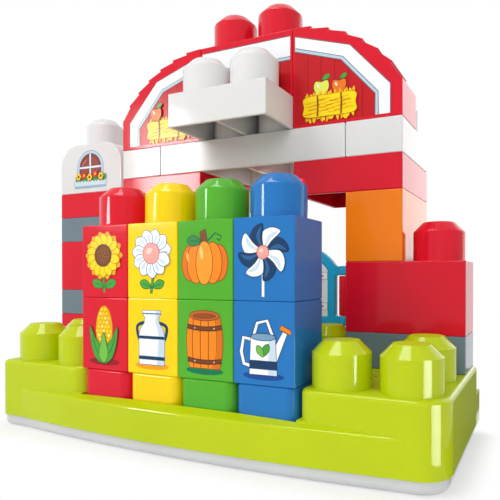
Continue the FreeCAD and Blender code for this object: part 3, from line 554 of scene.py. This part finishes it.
def hay_bale(art, x, z, wide, tall):
    """A tied bale with loose stalks."""
    stalks = 26
    for n in range(stalks):
        u = x - wide / 2 + wide * (n + 0.5) / stalks
        lean = math.sin(n * 2.4)
        down = petal(u, z + 1.4, math.radians(-90) + lean * 0.4, 0, 4.2 + 1.2 * math.sin(n * 1.7), 1.5)
        art.fill(down, SUN if n % 2 else AMBER)
        up = petal(u, z + tall - 1, math.radians(90) + lean * 0.32, 0, 3.2 + math.sin(n * 2.1), 1.5)
        art.fill(up, AMBER if n % 3 else SUN)
    half = wide / 2
    art.shape(smooth([(x - half, z), (x, z - 0.5), (x + half, z), (x + half + 0.6, z + tall / 2),
                      (x + half, z + tall), (x, z + tall + 0.5), (x - half, z + tall),
                      (x - half - 0.6, z + tall / 2)]), SUN, TAN)
    straws = 30
    for n in range(straws):
        u = x + wide * (0.88 * ((n * 7) % straws) / straws - 0.44)
        v = z + tall * (0.12 + 0.76 * ((n * 11) % straws) / straws)
        art.fill(stroke([(u - 2.2, v - 0.2), (u + 2.2, v + 0.3 * math.sin(n))], 0.45),
                 AMBER if n % 3 else TAN)
    for u in (x - wide * 0.24, x + wide * 0.24):
        art.fill(stroke([(u, z - 0.4), (u + 0.3, z + tall / 2), (u, z + tall + 0.4)], 0.8), RUST)


def apple(art, x, z, size, rgb):
    outline = [(0, 0.75), (0.8, 0.85), (1, 0), (0.45, -1),
               (0, -0.85), (-0.45, -1), (-1, 0), (-0.8, 0.85)]
    art.shape(smooth([(x + u * size, z + v * size) for u, v in outline]), rgb, (96, 26, 20))
    art.fill(oval(x - size * 0.42, z + size * 0.3, size * 0.16, size * 0.3, 0.4, 16), (255, 236, 226))
    art.fill(stroke([(x, z + size * 0.7), (x + size * 0.25, z + size * 1.4)], 0.6), BROWN)
    leaf = petal(x + size * 0.15, z + size * 1.05, math.radians(25), 0, size * 1.1, size * 0.55)
    art.shape(leaf, LEAF, PINE, 0.2)


def roof_side(name, side):
    """The red boards and white trim of one half of the roof."""
    low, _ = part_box(name)
    art = Print("print_" + name, 0, low.y / MM, low.z / MM)

    def turn(points):
        return [(side * x, z) for x, z in points]

    art.fill(turn(TRIM_INSIDE + [(ROOF_INNER, ROOF_FOOT)]), FIELD)
    for n in range(1, 6):
        x = ROOF_INNER + BOARD_STEP * n
        art.fill(turn(stroke([(x, ROOF_FOOT), (x, lining_height(x))], BOARD_LINE)), BOARD)
    trim(art, turn(TRIM_OUTSIDE), turn(TRIM_INSIDE))
    return art


right_roof = roof_side("roof_right", 1)
apple(right_roof, 49.5, 20.6, 4.4, (226, 232, 90))
apple(right_roof, 60, 20.2, 4.0, (236, 120, 30))
hay_bale(right_roof, 54.5, 5.2, 29, 10.5)
right_roof.make("roof_right", "red")
left_roof = roof_side("roof_left", -1)
hay_bale(left_roof, -56, 5.2, 32, 10.5)
apple(left_roof, -66, 20.4, 4.2, (236, 120, 30))
left_roof.make("roof_left", "red")

low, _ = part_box("roof_centre")
ridge = Print("print_roof_centre", 0, low.y / MM, level(4))
half = PITCH - GAP - INNER_MARGIN
top = HEIGHT - RIM + RIM_LAP
sill = top - RIDGE_TRIM
ridge.fill([(-half, ROOF_FOOT), (half, ROOF_FOOT), (half, sill), (-half, sill)], FIELD)
for n in range(-3, 4):
    ridge.fill(stroke([(BOARD_STEP * n, ROOF_FOOT), (BOARD_STEP * n, sill)], BOARD_LINE), BOARD)
trim(ridge, [(-half, top), (half, top)], [(-half, sill), (half, sill)])
ridge.make("roof_centre", "red")


def arch_line(half, foot, spring, steps=20):
    """An upright outline with a round top."""
    points = [(half, foot)]
    for n in range(steps + 1):
        a = math.pi * n / steps
        points.append((half * math.cos(a), spring + half * math.sin(a)))
    return points + [(-half, foot)]


def barn_window():
    low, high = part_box("side_tower_arch")
    art = Print("print_window", (low.x + high.x) / 2 / MM, low.y / MM, level(3))
    art.shape(arch_line(13.4, 8, 19), PALE_BLUE, STEEL)
    art.shape(arch_line(11.2, 9, 19), (128, 52, 44), STEEL, 0.3)
    art.fill(arch_line(9.6, 9, 18.4), (150, 68, 54))
    for points in ([(0, 9), (0, 30.2)], [(-11.2, 19.6), (11.2, 19.6)]):
        art.fill(stroke(points, 2.0), STEEL)
        art.fill(stroke(points, 1.4), (232, 240, 246))
    for u, v in ((-6.4, 23.4), (5.2, 14.8)):
        art.fill(stroke([(u - 2, v - 2), (u + 2, v + 2)], 0.9), (196, 128, 110))
    art.shape([(-16, 4), (16, 4), (17, 9.4), (-17, 9.4)], (206, 224, 234), STEEL)
    art.fill([(-16, 4), (16, 4), (16.3, 5.6), (-16.3, 5.6)], (160, 188, 208))
    for n in range(9):
        u = -14 + 3.5 * n
        leaf = petal(u, 8.6, math.radians(90 + 24 * math.sin(n * 2.2)), 0, 5.4, 2.6)
        art.shape(leaf, LEAF, PINE, 0.25)
    poppy = (226, 36, 48)
    for n, rgb in enumerate((SUN, poppy, SUN, poppy, SUN)):
        u = -12 + 6 * n
        v = 12.8 + 1.2 * math.sin(n * 2.6)
        for k in range(6):
            angle = math.pi / 3 * k
            bloom = oval(u + 1.5 * math.cos(angle), v + 1.5 * math.sin(angle), 1.2, 1.2, 0, 14)
            art.shape(bloom, rgb, RUST, 0.2)
        art.fill(oval(u, v, 1.1, 1.1, 0, 14), BROWN if rgb == SUN else AMBER)
    art.make("side_tower_arch", "white")


barn_window()

GATE_LEFT = -8.7
GATE_RIGHT = 35.3
GATE_FOOT = 60.65
GATE_SPRING = 91.25
GATE_CROWN = 103.05


def gate_top(x):
    """The height of the gate panel's arched top."""
    half = (GATE_RIGHT - GATE_LEFT) / 2
    rise = GATE_CROWN - GATE_SPRING
    radius = (half * half + rise * rise) / (2 * rise)
    off = x - (GATE_LEFT + GATE_RIGHT) / 2
    return GATE_CROWN - radius + math.sqrt(radius * radius - off * off)


def gate_panel(name, y, front):
    """White boards with rails and a slanted brace."""
    art = Print(name, 0, y, 0, front)
    inset = 0.3
    left = GATE_LEFT + inset
    right = GATE_RIGHT - inset
    foot = GATE_FOOT + inset
    pale = (240, 246, 250)
    count = 24
    arch = []
    for n in range(count + 1):
        x = right + (left - right) * n / count
        arch.append((x, gate_top(x) - inset))
    art.fill([(left, foot), (right, foot)] + arch, (224, 236, 244))
    boards = 6
    for n in range(1, boards):
        x = left + (right - left) * n / boards
        art.fill(stroke([(x, foot), (x, gate_top(x) - inset)], BOARD_LINE), (126, 156, 178))
    rail_tall = 4.4
    rail_left = left + 0.4
    rail_right = right - 0.4
    for low in (foot + 4.5, GATE_SPRING - 6):
        high = low + rail_tall
        rail = [(rail_left, low), (rail_right, low), (rail_right, high), (rail_left, high)]
        art.shape(rail, pale, STEEL, 0.3)
        for n in range(boards):
            x = left + (right - left) * (n + 0.5) / boards
            art.fill(oval(x, low + rail_tall / 2, 0.6, 0.6, 0, 12), STEEL)
    brace = [(left + 2.4, foot + 9.4), (left + 7.4, foot + 9.4), (right - 2.4, GATE_SPRING - 6.5),
             (right - 7.4, GATE_SPRING - 6.5)]
    art.shape(brace, pale, STEEL, 0.3)
    art.make("gate", "gate_blue")


GATE_MIDDLE = row(3.5)
SUNK_FACE = 1.7
gate_panel("print_gate_front", GATE_MIDDLE - SUNK_FACE, -1)
gate_panel("print_gate_back", GATE_MIDDLE + SUNK_FACE, 1)

# Camera at the photograph's place, from edges of the brick lattice measured in it
FOCAL_PIXELS = 522.59
CENTRE_PIXEL = (300.96, 278.02)
PICTURE = 500
EYE_COLUMN = 9.092
EYE_ROW = -6.473
EYE_RISE = 1.574
EYE_DROP = 0.006
EYE_TURN = 0.434
eye = bpy.data.cameras.new("photo_camera")
eye.sensor_width = 36.0
eye.lens = FOCAL_PIXELS * eye.sensor_width / PICTURE
eye.shift_x = (PICTURE / 2 - CENTRE_PIXEL[0]) / PICTURE
eye.shift_y = (CENTRE_PIXEL[1] - PICTURE / 2) / PICTURE
eye.clip_start = 0.01
camera = bpy.data.objects.new("photo_camera", eye)
camera.location = (column(EYE_COLUMN) * MM, row(EYE_ROW) * MM, (HEIGHT + EYE_RISE * PITCH) * MM)
camera.rotation_euler = (math.pi / 2 - EYE_DROP, 0.0, EYE_TURN)
bpy.context.scene.collection.objects.link(camera)
bpy.context.scene.camera = camera


# Floor and white surround
FLOOR_HALF = 4
FLOOR_DROP = 0.0002
SHADOW_REACH = 0.015
WHITE_AT_BASE = 0.45
SURROUND_LIGHT = 0.5


def background_rays(tree):
    """One for the rays that show the background: those of the camera, of gloss and of glass."""
    path = tree.nodes.new("ShaderNodeLightPath")
    seen = path.outputs["Is Camera Ray"]
    for kind in ("Is Glossy Ray", "Is Transmission Ray"):
        most = tree.nodes.new("ShaderNodeMath")
        most.operation = "MAXIMUM"
        tree.links.new(seen, most.inputs[0])
        tree.links.new(path.outputs[kind], most.inputs[1])
        seen = most.outputs[0]
    return seen


def floor_material():
    """A pale floor that takes shadows close to the base, and shows as white beyond them."""
    made, tree, shader = material("studio_floor")
    shade = ramp(tree, noise(tree, 3), linear((244, 244, 244)), linear((247, 247, 247)))
    tree.links.new(shade, shader.inputs["Base Color"])
    shader.inputs["Roughness"].default_value = 0.7
    shader.inputs["Specular IOR Level"].default_value = 0.2
    place = tree.nodes.new("ShaderNodeTexCoord")
    along = place.outputs["Object"]
    low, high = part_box("base_tray")
    middle = ((low.x + high.x) / 2, (low.y + high.y) / 2, 0)
    half = ((high.x - low.x) / 2, (high.y - low.y) / 2, 0)
    for operation, value in (("SUBTRACT", middle), ("ABSOLUTE", None), ("SUBTRACT", half),
                             ("MAXIMUM", (0, 0, 0)), ("LENGTH", None)):
        step = tree.nodes.new("ShaderNodeVectorMath")
        step.operation = operation
        tree.links.new(along, step.inputs[0])
        if value:
            step.inputs[1].default_value = value
        along = step.outputs["Value" if operation == "LENGTH" else "Vector"]
    lift = tree.nodes.new("ShaderNodeMapRange")
    lift.interpolation_type = "SMOOTHSTEP"
    lift.inputs["From Min"].default_value = 0.0
    lift.inputs["From Max"].default_value = SHADOW_REACH
    lift.inputs["To Min"].default_value = WHITE_AT_BASE
    lift.inputs["To Max"].default_value = 1.0
    tree.links.new(along, lift.inputs["Value"])
    glow = tree.nodes.new("ShaderNodeEmission")
    glow.inputs["Color"].default_value = (1, 1, 1, 1)
    glow.inputs["Strength"].default_value = 1.0
    share = tree.nodes.new("ShaderNodeMath")
    share.operation = "MULTIPLY"
    tree.links.new(background_rays(tree), share.inputs[0])
    tree.links.new(lift.outputs["Result"], share.inputs[1])
    mix = tree.nodes.new("ShaderNodeMixShader")
    tree.links.new(share.outputs[0], mix.inputs["Fac"])
    tree.links.new(shader.outputs[0], mix.inputs[1])
    tree.links.new(glow.outputs[0], mix.inputs[2])
    tree.links.new(mix.outputs[0], tree.nodes["Material Output"].inputs["Surface"])
    return made


def flat_mesh(name, low, high):
    """One level rectangle between two corners, at height zero."""
    mesh = bpy.data.meshes.new(name)
    corners = [(low[0], low[1], 0), (high[0], low[1], 0), (high[0], high[1], 0), (low[0], high[1], 0)]
    mesh.from_pydata(corners, [], [(0, 1, 2, 3)])
    return mesh


floor_mesh = flat_mesh("studio_floor", (-FLOOR_HALF, -FLOOR_HALF), (FLOOR_HALF, FLOOR_HALF))
floor_mesh.materials.append(floor_material())
floor = bpy.data.objects.new("studio_floor", floor_mesh)
floor.location = (0, 0, -FLOOR_DROP)
bpy.context.scene.collection.objects.link(floor)


def white_world(strength):
    """A white surround for the camera and for reflections, softer as a lamp."""
    world = bpy.data.worlds.new("white_surround")
    world.use_nodes = True
    bpy.context.scene.world = world
    tree = world.node_tree
    back = tree.nodes["Background"]
    back.inputs["Color"].default_value = (1, 1, 1, 1)
    tree.links.new(spread(tree, background_rays(tree), strength, 1.0), back.inputs["Strength"])


white_world(SURROUND_LIGHT)


# Studio lamps: soft ones that light the colours, and strips that only show as highlights

def softbox(name, place, aim, wide, tall, radiance, light=True, gloss=True, beam=180):
    """A flat lamp of an even radiance that faces a point of the toy."""
    lamp = bpy.data.lights.new(name, "AREA")
    lamp.shape = "RECTANGLE"
    lamp.spread = math.radians(beam)
    lamp.size = wide
    lamp.size_y = tall
    lamp.energy = radiance * math.pi * wide * tall
    item = bpy.data.objects.new(name, lamp)
    item.location = place
    item.rotation_euler = (Vector(aim) - Vector(place)).to_track_quat("-Z", "Y").to_euler()
    item.visible_camera = False
    item.visible_diffuse = light
    item.visible_glossy = gloss
    bpy.context.scene.collection.objects.link(item)


softbox("front_softbox", (-0.50, -0.65, 0.85), (0, 0, 0.1), 0.5, 0.5, 5.0, gloss=False)
softbox("camera_fill", (0.45, -0.95, 0.62), (0, 0, 0.1), 0.7, 0.7, 2.4, gloss=False)
softbox("top_panel", (-0.2, 0.0, 1.3), (0, 0, 0), 0.95, 0.6, 1.6, gloss=False)
softbox("top_strip", (-0.13, -0.28, 1.2), (0.05, 0, 0.1), 0.7, 0.35, 9.0, light=False)
softbox("back_panel", (0.42, 0.66, 0.383), (0.1, 0, 0.12), 0.8, 0.554, 1.3, light=False)
softbox("doorway_card", (0.013, 0.021, 0.146), (0.013, 0.0635, 0.085), 0.05, 0.015, 9.0, gloss=False)
softbox("left_strip", (-0.585, -0.645, 0.315), (-0.05, 0, 0.14), 0.135, 0.23, 33.0, light=False)
softbox("right_card", (0.157, -0.0565, 0.026), (0.12, -0.044, 0.026), 0.026, 0.052, 4.5,
        light=False, beam=80)

# Olive grey of a sheet that paints the shade of the floor into the reflection on the base's side
REFLECTED_FLOOR_SHADE = (128, 132, 92)


def painted_shade_sheet(name, low, high):
    """A dull sheet beside the base, seen only in the gloss of the base's side: painted shade that
    stands in for the shaded floor in that reflection.
    """
    mesh = flat_mesh(name, low, high)
    mesh.materials.append(plastic(name, REFLECTED_FLOOR_SHADE, rough=0.9))
    item = bpy.data.objects.new(name, mesh)
    item.visible_camera = False
    item.visible_diffuse = False
    item.visible_transmission = False
    item.visible_shadow = False
    bpy.context.scene.collection.objects.link(item)


# Sheet right of the base: painted shade, seen only as a darker reflection on the base's side
painted_shade_sheet("side_shade_sheet", (0.13, -0.03), (0.18, 0.26))

scene = bpy.context.scene
scene.view_settings.view_transform = "Standard"
